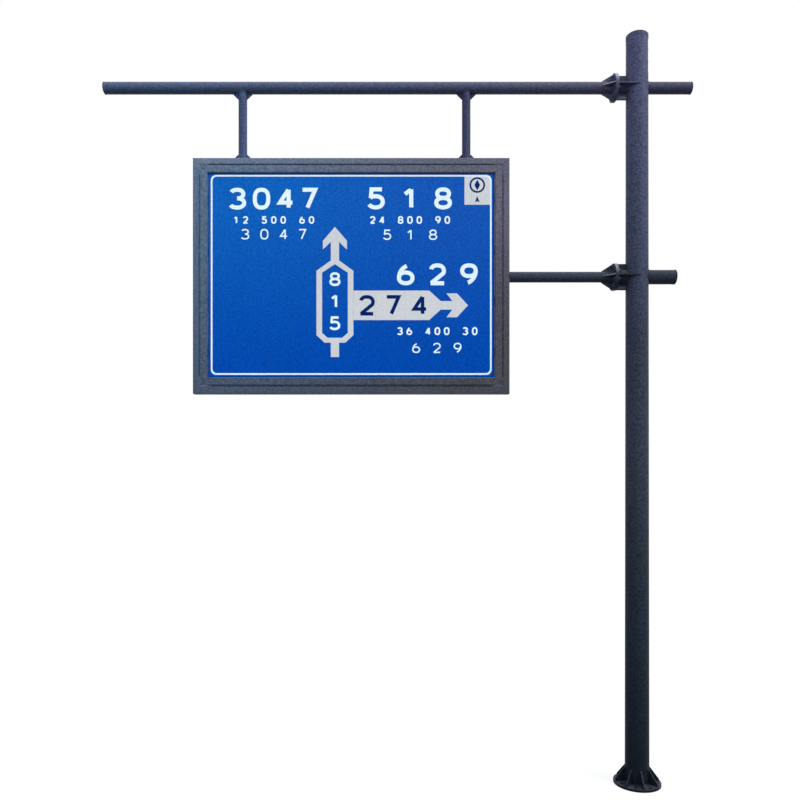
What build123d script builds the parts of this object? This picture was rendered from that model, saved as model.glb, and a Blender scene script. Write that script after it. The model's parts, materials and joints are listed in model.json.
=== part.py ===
from build123d import *
import os

# Cantilever sign gantry. A tapered round mast carries two horizontal tubes on one side.
# The upper arm holds a framed sign on two hangers, and the lower arm ties the sign's frame
# back to the mast. Each arm is bolted by a ribbed flange to a stub that runs through the mast.
# Millimetres, +Z up. The origin is the middle of the foot flange's underside, the arms reach
# towards -X and the sign faces -Y. All tube axes lie in the plane Y = 0.

# Foot
foot_flange_diameter = 460.0
foot_flange_thickness = 24.0
anchor_circle_diameter = 380.0
anchor_hole_diameter = 33.0
anchor_count = 8
foot_rib_thickness = 12.0
foot_rib_height = 140.0
foot_rib_nose = 20.0
foot_rib_rim_inset = 12.0

# Mast
mast_length = 7411.0
mast_foot_diameter = 236.0
mast_top_diameter = 215.0
mast_wall = 8.0
mast_cap_height = 34.0
mast_cap_lid = 8.0
mast_cap_overhang = 1.5
mast_cap_bevel = 5.0

# Arms: drops measured downwards, reaches measured from the mast's axis
upper_arm_drop_from_mast_top = 487.0
lower_arm_drop_from_upper_arm = 1890.0
joint_reach = 230.0
upper_arm_reach = 5326.0
upper_tail_reach = 541.0
lower_tail_reach = 380.0

# Tubes
upper_arm_diameter = 114.0
upper_arm_wall = 5.0
upper_stub_diameter = 114.0
upper_stub_wall = 6.0
lower_arm_diameter = 104.0
lower_arm_wall = 4.5
lower_stub_diameter = 140.0
lower_stub_wall = 6.0
end_plate_thickness = 6.0
end_plate_bevel = 1.5

# Bolted joints
flange_diameter = 265.0
flange_thickness = 15.0
flange_bolt_circle = 206.0
flange_bolt_hole = 18.0
flange_bolt_count = 8
arm_rib_count = 4
arm_rib_length = 112.0
arm_rib_thickness = 10.0
arm_rib_nose = 6.0
arm_rib_rim_inset = 1.5
stub_rib_thickness = 12.0
stub_rib_proud = 8.0
upper_stub_rib_half_height = 120.0
lower_stub_rib_half_height = 130.0

# Sign
sign_width = 3148.0
sign_height = 2343.0
sign_drop_from_upper_arm = 717.0
sign_clearance_from_mast_axis = 1281.0
outer_frame_tube_width = 66.0
outer_frame_bottom_tube_width = 80.0
inner_frame_tube_width = 80.0
frame_depth = 100.0
frame_tube_wall = 4.0
frame_corner_radius = 8.0
inner_frame_setback = 5.0
panel_thickness = 3.0
panel_recess = 15.0
panel_edge_gap = 2.0
rail_count = 4
rail_height = 80.0
rail_depth = 40.0
rail_wall = 4.0

# Hangers
hanger_diameter = 85.0
hanger_wall = 4.0
left_hanger_inset = 488.0
right_hanger_inset = 427.0
gusset_thickness = 8.0
gusset_nose = 6.0
top_gusset_size = 55.0
bottom_gusset_size = 48.0

# Places that follow from the sizes above
mast_base = foot_flange_thickness
mast_top = mast_base + mast_length
upper_axis_height = mast_top - upper_arm_drop_from_mast_top
lower_axis_height = upper_axis_height - lower_arm_drop_from_upper_arm
arm_flange_face = -joint_reach - flange_thickness
stub_flange_face = -joint_reach + flange_thickness
sign_right = -sign_clearance_from_mast_axis
sign_left = sign_right - sign_width
sign_middle = (sign_left + sign_right) / 2
left_hanger_place = sign_left + left_hanger_inset
right_hanger_place = sign_right - right_hanger_inset
sign_top_height = upper_axis_height - sign_drop_from_upper_arm
sign_underside_height = sign_top_height - sign_height
inner_frame_depth = frame_depth - 2 * inner_frame_setback
opening_left = sign_left + outer_frame_tube_width + inner_frame_tube_width
opening_right = sign_right - outer_frame_tube_width - inner_frame_tube_width
opening_bottom = sign_underside_height + outer_frame_bottom_tube_width + inner_frame_tube_width
opening_top = sign_top_height - outer_frame_tube_width - inner_frame_tube_width
opening_width = opening_right - opening_left
opening_height = opening_top - opening_bottom
panel_mid_height = (opening_bottom + opening_top) / 2
panel_front = -inner_frame_depth / 2 + panel_recess
panel_back = panel_front + panel_thickness

pieces = {}


def mast_radius(height):
    """Outer radius of the tapered mast at a height above the foot's underside."""
    share = (height - mast_base) / mast_length
    return (mast_foot_diameter + share * (mast_top_diameter - mast_foot_diameter)) / 2


def rod_along_x(start, end, diameter, height):
    """Solid round bar along X between two X positions, with its axis at a height."""
    place = Pos((start + end) / 2, 0, height) * Rot(0, 90, 0)
    return place * Cylinder(diameter / 2, abs(end - start))


def tube_along_x(start, end, diameter, wall, height):
    """Hollow round tube along X."""
    outer = rod_along_x(start, end, diameter, height)
    return outer - rod_along_x(start, end, diameter - 2 * wall, height)


def mast_body():
    """The mast's outer form, solid, used to trim what is welded against it."""
    cone = Cone(mast_foot_diameter / 2, mast_top_diameter / 2, mast_length)
    return Pos(0, 0, mast_base + mast_length / 2) * cone


def end_plate(outer_face, direction, diameter, height):
    """Plate that closes a tube, with its outer edge bevelled. direction is -1 or 1 along X."""
    inner_face = outer_face - direction * end_plate_thickness
    plate = rod_along_x(inner_face, outer_face, diameter, height)
    rim = plate.edges().filter_by(GeomType.CIRCLE).sort_by(Axis.X)[-1 if direction > 0 else 0]
    return chamfer(rim, end_plate_bevel)


def plate_in_xz(points, thickness):
    """Flat plate standing in the plane Y = 0, from its corners as X and Z."""
    outline = make_face(Polyline(*[(x, 0, z) for x, z in points], close=True))
    return extrude(outline, thickness / 2, dir=(0, 1, 0), both=True)


def around_x(shape, height, angle):
    """The shape turned about a tube's axis, which lies along X at a height."""
    return Pos(0, 0, height) * Rot(angle, 0, 0) * Pos(0, 0, -height) * shape


def make_foot():
    """Round foot flange with anchor holes, and the ribs that brace the mast on it."""
    plate = Pos(0, 0, mast_base / 2) * Cylinder(foot_flange_diameter / 2, foot_flange_thickness)
    holes = PolarLocations(anchor_circle_diameter / 2, anchor_count, 180 / anchor_count)
    drill = Cylinder(anchor_hole_diameter / 2, 3 * foot_flange_thickness)
    pieces["foot_flange"] = plate - [spot * drill for spot in holes]

    rib_end = foot_flange_diameter / 2 - foot_rib_rim_inset
    rib_top = mast_base + foot_rib_height
    rib = plate_in_xz([
        (0, mast_base),
        (rib_end, mast_base),
        (rib_end, mast_base + foot_rib_nose),
        (mast_radius(rib_top) + foot_rib_nose / 2, rib_top),
        (0, rib_top),
    ], foot_rib_thickness) - mast_body()
    ribs = [Rot(0, 0, turn * 360 / anchor_count) * rib for turn in range(anchor_count)]
    pieces["foot_ribs"] = Compound(ribs)


def make_mast():
    """Tapered shaft with the holes that the two stubs pass through, and its hollow cap."""
    bore = Pos(0, 0, mast_base + mast_length / 2) * Cone(
        mast_foot_diameter / 2 - mast_wall, mast_top_diameter / 2 - mast_wall, mast_length)
    reach = mast_foot_diameter
    upper_hole = rod_along_x(-reach, reach, upper_stub_diameter, upper_axis_height)
    lower_hole = rod_along_x(-reach, reach, lower_stub_diameter, lower_axis_height)
    pieces["mast_shaft"] = mast_body() - bore - upper_hole - lower_hole

    cap = Pos(0, 0, mast_top + mast_cap_height / 2) * Cylinder(
        mast_top_diameter / 2 + mast_cap_overhang, mast_cap_height)
    cap_rim = cap.edges().filter_by(GeomType.CIRCLE).sort_by(Axis.Z)[-1]
    skirt_height = mast_cap_height - mast_cap_lid
    hollow = Pos(0, 0, mast_top + skirt_height / 2) * Cylinder(
        mast_top_diameter / 2 - mast_wall, skirt_height)
    pieces["mast_cap"] = chamfer(cap_rim, mast_cap_bevel) - hollow


def joint_flange(start, end, bore_diameter, height):
    """One flange of a joint, bored for its tube and drilled for its bolts."""
    disc = rod_along_x(start, end, flange_diameter, height)
    bore = rod_along_x(start, end, bore_diameter, height)
    drill = Pos(0, 0, flange_bolt_circle / 2) * rod_along_x(start, end, flange_bolt_hole, height)
    step = 360 / flange_bolt_count
    holes = [around_x(drill, height, (turn + 0.5) * step) for turn in range(flange_bolt_count)]
    return disc - bore - holes


def arm_ribs(tube_diameter, height):
    """Triangular ribs round the arm, tapering from the flange down to the tube."""
    rib_end = arm_flange_face - arm_rib_length
    rib = plate_in_xz([
        (arm_flange_face, height),
        (arm_flange_face, height + flange_diameter / 2 - arm_rib_rim_inset),
        (rib_end, height + tube_diameter / 2 + arm_rib_nose),
        (rib_end, height),
    ], arm_rib_thickness) - rod_along_x(rib_end, arm_flange_face, tube_diameter, height)
    step = 360 / arm_rib_count
    return Compound([around_x(rib, height, turn * step) for turn in range(arm_rib_count)])


def stub_ribs(tube_diameter, half_height, height):
    """Plates between the stub's flange and the mast: two upright and two lying level.

    The level ones run on to the mast's own middle plane, just proud of its side."""
    stub = rod_along_x(stub_flange_face, 0, tube_diameter, height)
    side_reach = mast_radius(height) + stub_rib_proud
    ribs = []
    for side in (1, -1):
        upright = plate_in_xz([
            (stub_flange_face, height),
            (0, height),
            (0, height + side * half_height),
            (stub_flange_face, height + side * half_height),
        ], stub_rib_thickness)
        level = Pos(stub_flange_face / 2, side * side_reach / 2, height) * Box(
            -stub_flange_face, side_reach, stub_rib_thickness)
        ribs += [upright - mast_body() - stub, level - mast_body() - stub]
    return Compound(ribs)


def make_arm_joint(level, arm_diameter, stub_diameter, stub_wall, tail_reach,
                   rib_half_height, height):
    """The stub through the mast with its tail, and both halves of the bolted joint."""
    tail_end = tail_reach - end_plate_thickness
    stub = tube_along_x(-joint_reach, tail_end, stub_diameter, stub_wall, height)
    pieces[level + "_stub_tube"] = stub
    pieces[level + "_stub_cap"] = end_plate(tail_reach, 1, stub_diameter, height)
    pieces[level + "_stub_flange"] = joint_flange(
        -joint_reach, stub_flange_face, stub_diameter, height)
    pieces[level + "_stub_ribs"] = stub_ribs(stub_diameter, rib_half_height, height)
    pieces[level + "_arm_flange"] = joint_flange(
        arm_flange_face, -joint_reach, arm_diameter, height)
    pieces[level + "_arm_ribs"] = arm_ribs(arm_diameter, height)


def make_arms():
    """The two arm tubes: the upper one closed at its free end, the lower one on the frame."""
    pieces["upper_arm_tube"] = tube_along_x(
        -upper_arm_reach + end_plate_thickness, -joint_reach,
        upper_arm_diameter, upper_arm_wall, upper_axis_height)
    pieces["upper_arm_cap"] = end_plate(
        -upper_arm_reach, -1, upper_arm_diameter, upper_axis_height)
    pieces["lower_arm_tube"] = tube_along_x(
        sign_right, -joint_reach, lower_arm_diameter, lower_arm_wall, lower_axis_height)


def make_hanger(side, place):
    """Upright tube coped under the upper arm, with a gusset each side at top and bottom."""
    arm = rod_along_x(sign_left, sign_right, upper_arm_diameter, upper_axis_height)
    length = upper_axis_height - sign_top_height
    centre = Pos(place, 0, sign_top_height + length / 2)
    body = centre * Cylinder(hanger_diameter / 2, length)
    bore = centre * Cylinder(hanger_diameter / 2 - hanger_wall, length)
    pieces[side + "_hanger"] = body - bore - arm

    arm_underside = upper_axis_height - upper_arm_diameter / 2
    gussets = []
    for way in (-1, 1):
        near = place + way * (hanger_diameter / 2 + gusset_nose)
        top_far = place + way * (hanger_diameter / 2 + top_gusset_size)
        bottom_far = place + way * (hanger_diameter / 2 + bottom_gusset_size)
        top_gusset = plate_in_xz([
            (place, upper_axis_height),
            (top_far, upper_axis_height),
            (top_far, arm_underside - gusset_nose),
            (near, arm_underside - top_gusset_size),
            (place, arm_underside - top_gusset_size),
        ], gusset_thickness)
        bottom_gusset = plate_in_xz([
            (place, sign_top_height),
            (bottom_far, sign_top_height),
            (bottom_far, sign_top_height + gusset_nose),
            (near, sign_top_height + bottom_gusset_size),
            (place, sign_top_height + bottom_gusset_size),
        ], gusset_thickness)
        gussets += [top_gusset - body - arm, bottom_gusset - body]
    pieces[side + "_hanger_gussets"] = Compound(gussets)


def mitred_rail(start, end, width, start_neighbour, end_neighbour, depth):
    """Square tube along X standing on Z = 0, its lower side full length, ends mitred.

    Each neighbour is the width of the tube that the mitre at that end meets."""
    section = Plane.YZ * Pos(0, width / 2) * (
        RectangleRounded(depth, width, frame_corner_radius)
        - RectangleRounded(depth - 2 * frame_tube_wall, width - 2 * frame_tube_wall,
                           frame_corner_radius - frame_tube_wall))
    rail = Pos(start, 0, 0) * extrude(section, end - start, dir=(1, 0, 0))
    mitre = plate_in_xz([
        (start, 0),
        (end, 0),
        (end - end_neighbour, width),
        (start + start_neighbour, width),
    ], 2 * depth)
    return rail & mitre


def make_frame_ring(name, left, right, bottom, top, width, bottom_width, depth):
    """Four mitred rails that form one ring of the sign's frame, from its outer edges."""
    half_width = (right - left) / 2
    half_height = (top - bottom) / 2
    middle = (left + right) / 2
    mid_height = (bottom + top) / 2
    pieces[name + "_bottom"] = Pos(middle, 0, bottom) * mitred_rail(
        -half_width, half_width, bottom_width, width, width, depth)
    pieces[name + "_top"] = Pos(middle, 0, top) * Rot(0, 180, 0) * mitred_rail(
        -half_width, half_width, width, width, width, depth)
    pieces[name + "_left"] = Pos(left, 0, mid_height) * Rot(0, 90, 0) * mitred_rail(
        -half_height, half_height, width, width, bottom_width, depth)
    pieces[name + "_right"] = Pos(right, 0, mid_height) * Rot(0, -90, 0) * mitred_rail(
        -half_height, half_height, width, bottom_width, width, depth)


def make_panel():
    """Sign sheet set back inside the frame, on channels that span the opening behind it."""
    sheet = Box(opening_width - 2 * panel_edge_gap, panel_thickness,
                opening_height - 2 * panel_edge_gap)
    pieces["sign_panel"] = Pos(
        sign_middle, panel_front + panel_thickness / 2, panel_mid_height) * sheet

    channel = Box(opening_width, rail_depth, rail_height) - Pos(0, rail_wall, 0) * Box(
        opening_width, rail_depth, rail_height - 2 * rail_wall)
    spacing = opening_height / rail_count
    lowest = opening_bottom + spacing / 2
    for number in range(rail_count):
        place = Pos(sign_middle, panel_back + rail_depth / 2, lowest + number * spacing)
        pieces[f"panel_rail_{number + 1}"] = place * channel


make_foot()
make_mast()
make_arm_joint("upper", upper_arm_diameter, upper_stub_diameter, upper_stub_wall,
               upper_tail_reach, upper_stub_rib_half_height, upper_axis_height)
make_arm_joint("lower", lower_arm_diameter, lower_stub_diameter, lower_stub_wall,
               lower_tail_reach, lower_stub_rib_half_height, lower_axis_height)
make_arms()
make_hanger("left", left_hanger_place)
make_hanger("right", right_hanger_place)
make_frame_ring("outer_frame", sign_left, sign_right, sign_underside_height, sign_top_height,
                outer_frame_tube_width, outer_frame_bottom_tube_width, frame_depth)
make_frame_ring("inner_frame",
                sign_left + outer_frame_tube_width, sign_right - outer_frame_tube_width,
                sign_underside_height + outer_frame_bottom_tube_width,
                sign_top_height - outer_frame_tube_width,
                inner_frame_tube_width, inner_frame_tube_width, inner_frame_depth)
make_panel()

os.makedirs("parts", exist_ok=True)
for name, piece in pieces.items():
    export_step(piece, f"parts/{name}.step")
print(len(pieces), "pieces written")
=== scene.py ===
import json
import math
import bmesh
import bpy
from mathutils import Matrix, Vector
from mathutils.geometry import delaunay_2d_cdt


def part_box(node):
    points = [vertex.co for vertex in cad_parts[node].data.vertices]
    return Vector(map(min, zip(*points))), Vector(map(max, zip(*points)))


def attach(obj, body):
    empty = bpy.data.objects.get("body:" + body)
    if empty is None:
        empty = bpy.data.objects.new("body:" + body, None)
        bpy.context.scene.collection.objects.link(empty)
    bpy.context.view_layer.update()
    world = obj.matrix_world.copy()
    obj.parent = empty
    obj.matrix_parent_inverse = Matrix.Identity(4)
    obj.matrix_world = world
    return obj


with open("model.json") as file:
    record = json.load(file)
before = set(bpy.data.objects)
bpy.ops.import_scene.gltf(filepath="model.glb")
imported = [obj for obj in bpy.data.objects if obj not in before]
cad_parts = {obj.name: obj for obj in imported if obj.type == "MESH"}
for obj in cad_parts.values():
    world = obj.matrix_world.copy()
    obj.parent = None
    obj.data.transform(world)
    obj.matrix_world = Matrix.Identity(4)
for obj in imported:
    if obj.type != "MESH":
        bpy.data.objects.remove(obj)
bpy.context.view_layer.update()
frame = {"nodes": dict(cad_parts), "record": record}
nodes = frame["nodes"]
print("frame loaded:", len(nodes), "steel parts")


# Shader sockets as values: an expression on them adds the Math nodes it needs
class Wire:
    def __init__(self, tree, socket):
        self.tree = tree
        self.socket = socket

    def maths(self, operation, other=0.0, swapped=False):
        node = self.tree.nodes.new("ShaderNodeMath")
        node.operation = operation
        ends = [other, self] if swapped else [self, other]
        for slot, end in zip(node.inputs, ends):
            if isinstance(end, Wire):
                self.tree.links.new(end.socket, slot)
            else:
                slot.default_value = end
        return Wire(self.tree, node.outputs[0])

    def __add__(self, other):
        return self.maths("ADD", other)

    __radd__ = __add__

    def __sub__(self, other):
        return self.maths("SUBTRACT", other)

    def __rsub__(self, other):
        return self.maths("SUBTRACT", other, swapped=True)

    def __mul__(self, other):
        return self.maths("MULTIPLY", other)

    def __truediv__(self, other):
        return self.maths("DIVIDE", other)

    def __abs__(self):
        return self.maths("ABSOLUTE")


# A node tree under construction, with short ways to the nodes used again and again
class Shading:
    def __init__(self, owner):
        owner.use_nodes = True
        self.tree = owner.node_tree
        self.tree.nodes.clear()

    def node(self, kind, settings, sockets, output=0):
        made = self.tree.nodes.new("ShaderNode" + kind)
        for key, value in settings.items():
            if key == "stops":
                self.setStops(made.color_ramp, value)
            else:
                setattr(made, key, value)
        for key, value in sockets.items():
            if isinstance(value, Wire):
                self.tree.links.new(value.socket, made.inputs[key])
            else:
                made.inputs[key].default_value = value
        return Wire(self.tree, made.outputs[output])

    def setStops(self, ramp, stops):
        first, *between, last = stops
        for element, (place, shade) in ((ramp.elements[0], first), (ramp.elements[-1], last)):
            element.position = place
            element.color = shade
        for place, shade in between:
            ramp.elements.new(place).color = shade

    def place(self):
        return self.node("TexCoord", {}, {}, "Object")

    def along(self, vector, direction):  # how far a vector reaches along a direction
        return self.node("VectorMath", {"operation": "DOT_PRODUCT"}, {0: vector, 1: direction}, "Value")

    def facing(self, direction):  # how far the surface turns to a direction
        return self.along(self.node("NewGeometry", {}, {}, "True Normal"), direction)

    def times(self, vector, factors):  # a place or a colour, each part by its own factor
        return self.node("VectorMath", {"operation": "MULTIPLY"}, {0: vector, 1: factors})

    def scaled(self, vector, factor):  # all three parts by one factor
        return self.node("VectorMath", {"operation": "SCALE"}, {0: vector, "Scale": factor})

    def noise(self, vector, scale, detail=2.0, rough=0.5):
        return self.node("TexNoise", {}, {
            "Vector": vector, "Scale": scale, "Detail": detail, "Roughness": rough})

    def fade(self, value, start, end, low=0.0, high=1.0):  # smooth step between two values
        return self.node("MapRange", {"interpolation_type": "SMOOTHSTEP"}, {
            "Value": value, "From Min": start, "From Max": end, "To Min": low, "To Max": high})

    def blend(self, share, under, over):
        return self.node("Mix", {"data_type": "RGBA"}, {0: share, 6: under, 7: over}, 2)

    def tones(self, value, marks, colours):  # colours at marks along a value, blended between
        if len(colours) == 1:
            return colours[0]
        span = marks[-1] - marks[0]
        stops = [((mark - marks[0]) / span, colour) for mark, colour in zip(marks, colours)]
        return self.node("ValToRGB", {"stops": stops}, {"Fac": (value - marks[0]) / span})

    def seenDirectly(self):  # camera, mirror and glass rays, which show the white surroundings
        camera, mirror, glass = (self.node("LightPath", {}, {}, "Is %s Ray" % kind)
                                 for kind in ("Camera", "Glossy", "Transmission"))
        return camera.maths("MAXIMUM", mirror).maths("MAXIMUM", glass)

    def finish(self, shader, kind="Material"):
        out = self.tree.nodes.new("ShaderNodeOutput" + kind)
        self.tree.links.new(shader.socket, out.inputs["Surface"])

    def surface(self, look, colour, rough, relief, metallic=0.0):
        bump = self.node("Bump", {}, {"Strength": look["bumpStrength"], "Distance": look["bumpDepth"],
                                      "Height": relief})
        self.finish(self.node("BsdfPrincipled", {}, {
            "Base Color": colour, "Metallic": metallic, "Roughness": rough, "Normal": bump,
            "Specular IOR Level": look["specular"]}))


def rgb(red, green, blue):  # a colour given as screen values from 0 to 255
    def linear(part):
        part = part / 255
        return part / 12.92 if part < 0.0404 else ((part + 0.055) / 1.055) ** 2.4
    return (linear(red), linear(green), linear(blue), 1.0)


def newMaterial(name):
    made = bpy.data.materials.new(name)
    return made, Shading(made)


def lightness(look, **noises):  # one on average, swinging with each noise by its share
    swing = sum(look[kind + "Share"] for kind in noises)
    return sum((noise * look[kind + "Share"] for kind, noise in noises.items()), 1 - 0.5 * swing)


# Paint over steel: clouded and speckled colour, dust on what faces up, a few rust specks, and where masks
# are given, painted shade and lighter patches of worn paint and painted light. A noise is its scale,
# detail and roughness, and edges say where a fade starts and ends.
paintLook = {
    "cloud": (1.7, 3.0, 0.5),
    "cloudShare": 0.30,
    "mottle": (22.0, 4.0, 0.6),
    "mottleShare": 0.45,
    "grain": (58.0, 2.0, 0.55),
    "grainEdges": (0.28, 0.72),
    "grainShare": 0.60,
    "streak": (1.0, 3.0, 0.6),
    "streakStretch": (38.0, 38.0, 1.3),
    "streakShare": 0.22,
    "tint": (26.0, 2.0, 0.5),
    "tintEdges": (0.35, 0.65),
    "cool": (0.93, 1.01, 1.06),
    "warm": (1.10, 0.99, 0.95),
    "dust": rgb(140, 146, 158),
    "dustFacing": (0.10, 1.0),
    "dustEdges": (0.35, 0.65, 0.5, 1.0),
    "dustShare": 0.42,
    "rust": rgb(84, 56, 42),
    "rustSpeck": (31.0, 6.0, 0.7),
    "rustEdges": (0.735, 0.755),
    "rustRoughness": 0.3,
    "roughness": 0.50,
    "roughnessSwing": 0.18,
    "specular": 0.08,
    "peel": (420.0, 2.0, 0.5),
    "mottleRelief": 2.0,
    "bumpStrength": 0.35,
    "bumpDepth": 0.0005,
    # lighter paint for worn places and for painted light
    "worn": rgb(174, 176, 196),
    "wornAndLitEdges": (0.5, 1.3, 0.45, 1.0),
    "wornAndLitShare": 0.9,
    # darkening for painted shade and for dark mitre joints
    "shadeAndSeams": (0.50, 0.52, 0.56),
}


def steelPaint(name, left, right, heights=(0.0, 1.0), look=paintLook, sides=(-5.0, 0.2),
               wornAt=None, shadeAndSeamsAt=None):
    made, shade = newMaterial(name)
    place = shade.place()
    height = shade.along(place, (0, 0, 1))
    across = shade.fade(shade.along(place, (1, 0, 0)), *sides)
    colour = shade.blend(across, shade.tones(height, heights, left),
                         shade.tones(height, heights, right))

    cloud = shade.noise(place, *look["cloud"])
    mottle = shade.noise(place, *look["mottle"])
    grain = shade.fade(shade.noise(place, *look["grain"]), *look["grainEdges"])
    streak = shade.noise(shade.times(place, look["streakStretch"]), *look["streak"])
    colour = shade.scaled(colour, lightness(look, cloud=cloud, mottle=mottle, streak=streak,
                                            grain=grain))
    tint = shade.fade(shade.noise(place, *look["tint"]), *look["tintEdges"])
    colour = shade.blend(tint, shade.times(colour, look["cool"]), shade.times(colour, look["warm"]))

    upward = shade.fade(shade.facing((0, 0, 1)), *look["dustFacing"])
    dust = upward * shade.fade(mottle, *look["dustEdges"]) * look["dustShare"]
    # Painted shade and dark mitre joints from the given mask, with no dust in them
    if shadeAndSeamsAt:
        darkened = shadeAndSeamsAt(shade, place)
        colour = shade.blend(darkened, colour, shade.times(colour, look["shadeAndSeams"]))
        dust = dust * (1 - darkened)
    colour = shade.blend(dust, colour, look["dust"])
    # Lighter paint from the given mask: worn paint, partly painted light
    if wornAt:
        worn = wornAt(shade, place) * shade.fade(grain + mottle, *look["wornAndLitEdges"])
        colour = shade.blend(worn * look["wornAndLitShare"], colour, look["worn"])

    speck = shade.fade(shade.noise(place, *look["rustSpeck"]), *look["rustEdges"])
    colour = shade.blend(speck, colour, look["rust"])

    rough = (look["roughness"] + (mottle - 0.5) * look["roughnessSwing"] + dust
             + speck * look["rustRoughness"])
    peel = shade.noise(place, *look["peel"])
    shade.surface(look, colour, rough, peel + mottle * look["mottleRelief"] - speck)
    return made


# Where paint is rubbed, and where light is painted on: how a face has to turn or where it has to lie,
# from none to all of it
wearAndLight = {
    "rimEndways": (0.6, 0.2),
    "rimUpward": (-0.1, 0.75),
    "ribFacing": (0.3, 0.6),
    "ribProud": (0.045, 0.06),
    # the painted lit strip along the foot of the rib under a stub
    "footFacing": (0.5, 0.9),
    "footRise": 0.023,
    "footReach": (0.016, 0.010),
    "footShare": 0.5,
}


def rimWearAndHighlight(shade, place):  # a flange's rim, most of it on top: worn paint and a painted highlight
    endways = shade.facing((1, 0, 0))
    return shade.fade(endways * endways, *wearAndLight["rimEndways"]) * shade.fade(
        shade.facing((0, 0, 1)), *wearAndLight["rimUpward"])


def ribEdgeWearAndHighlight(shade, place):  # the slanted edge of the rib that stands out in front: worn paint and a painted highlight
    return shade.fade(shade.facing((-1, 0, 0)), *wearAndLight["ribFacing"]) * shade.fade(
        shade.along(place, (0, -1, 0)), *wearAndLight["ribProud"])


def ribFootLitStrip(shade, place):  # painted light: a lighter strip along the foot of the rib under a stub
    height = shade.along(place, (0, 0, 1))
    upper, lower = (abs(height - (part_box(level + "_stub_ribs")[0][2] + wearAndLight["footRise"]))
                    for level in ("upper", "lower"))
    return shade.fade(upper.maths("MINIMUM", lower), *wearAndLight["footReach"]) * shade.fade(
        shade.facing((0, -1, 0)), *wearAndLight["footFacing"]) * wearAndLight["footShare"]


# Painted shade on the frame: darker in the groove between its rings and along the sheet's edge; and dark
# mitre joints
shadeAndSeams = {
    "groove": (0.013, 0.005),
    "grooveShare": 0.7,
    "grooveEnds": (-0.125, -0.075, 1.0, 0.0),
    "bottomBar": (4.1, 4.0),
    "bottomWider": 0.004,
    "bottomMore": 0.3,
    "mitre": (0.010, 0.003),
    "mitreShare": 0.4,
    "frameEdge": (0.014, 0.002),
    "frameEdgeShare": 0.8,
}


def beyondRing(shade, place, end):  # how far outside the inner ring's outer (0) or inner (1) edges
    ring = [(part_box("inner_frame_left")[end][0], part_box("inner_frame_right")[1 - end][0], (1, 0, 0)),
            (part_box("inner_frame_bottom")[end][2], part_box("inner_frame_top")[1 - end][2], (0, 0, 1))]
    return [abs(shade.along(place, way) - (low + high) / 2) - (high - low) / 2
            for low, high, way in ring]


def sheetEdge(shade, place, edges):  # all of it along the opening's edge, fading out beside it
    across, upright = beyondRing(shade, place, 1)
    return shade.fade(abs(across.maths("MAXIMUM", upright)), *edges)


def frameShadeAndSeams(shade, place):
    across, upright = beyondRing(shade, place, 0)
    outside = abs(across.maths("MAXIMUM", upright))
    corner = across.maths("MINIMUM", upright)
    # Painted shade in the groove, stronger along the bottom bar, and along the opening's edge; the mitres
    # are dark joints
    low = shade.fade(shade.along(place, (0, 0, 1)), *shadeAndSeams["bottomBar"])
    groove = shade.fade(outside - low * shadeAndSeams["bottomWider"], *shadeAndSeams["groove"]) * shade.fade(
        corner, *shadeAndSeams["grooveEnds"]) * (shadeAndSeams["grooveShare"] + low * shadeAndSeams["bottomMore"])
    mitre = shade.fade(abs(across - upright), *shadeAndSeams["mitre"]) * shadeAndSeams["mitreShare"]
    edge = sheetEdge(shade, place, shadeAndSeams["frameEdge"]) * shadeAndSeams["frameEdgeShare"]
    return groove.maths("MAXIMUM", mitre).maths("MAXIMUM", edge)


mastLook = dict(paintLook, specular=0.04, dustShare=0.15, grainShare=0.75, mottleShare=0.55)
# Painted light and shade: the mast's colour darkens from its top down to its foot, following how the
# light falls on it
mastHeights = (0.2, 1.3, 2.3, 3.4, 4.4, 5.7, 7.3)
mastColours = (rgb(19, 25, 34), rgb(28, 37, 47), rgb(37, 45, 55), rgb(51, 56, 68),
               rgb(50, 55, 70), rgb(62, 69, 90), rgb(76, 79, 106))
mastPaint = steelPaint("mastPaint", mastColours, mastColours, mastHeights, mastLook)

# Painted light and shade: the frame's colour grows lighter towards its top; its tones also change from
# left to right
frameHeights = (3.9, 4.3, 4.9, 5.5, 5.9, 6.12, 6.22)
frameLeft = (rgb(67, 80, 98), rgb(70, 87, 108), rgb(74, 93, 115), rgb(79, 101, 124),
             rgb(86, 108, 132), rgb(86, 104, 127), rgb(102, 117, 137))
frameRight = (rgb(64, 66, 73), rgb(70, 71, 77), rgb(74, 74, 84), rgb(90, 87, 101),
              rgb(96, 95, 110), rgb(90, 92, 105), rgb(92, 95, 110))
framePaint = steelPaint("framePaint", frameLeft, frameRight, frameHeights, sides=(-4.4, -1.3),
                        shadeAndSeamsAt=frameShadeAndSeams)


def levelPaints(level, left, right, tail, bolts, sides, look):  # by how a node's name ends
    def paint(piece, **more):
        return steelPaint(level + piece + "Paint", (left,), (right,), look=look, sides=sides, **more)
    flange = paint("Flange", wornAt=rimWearAndHighlight)
    tailPaint = steelPaint(level + "TailPaint", (tail,), (tail,), look=look)
    return {"arm_flange": flange, "stub_flange": flange, "arm_ribs": paint("Rib", wornAt=ribEdgeWearAndHighlight),
            "stub_ribs": paint("StubRib", wornAt=ribFootLitStrip), "stub_tube": tailPaint,
            "stub_cap": tailPaint, "bolts": steelPaint(level + "BoltPaint", (bolts,), (bolts,)),
            "": paint("Arm")}


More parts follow.
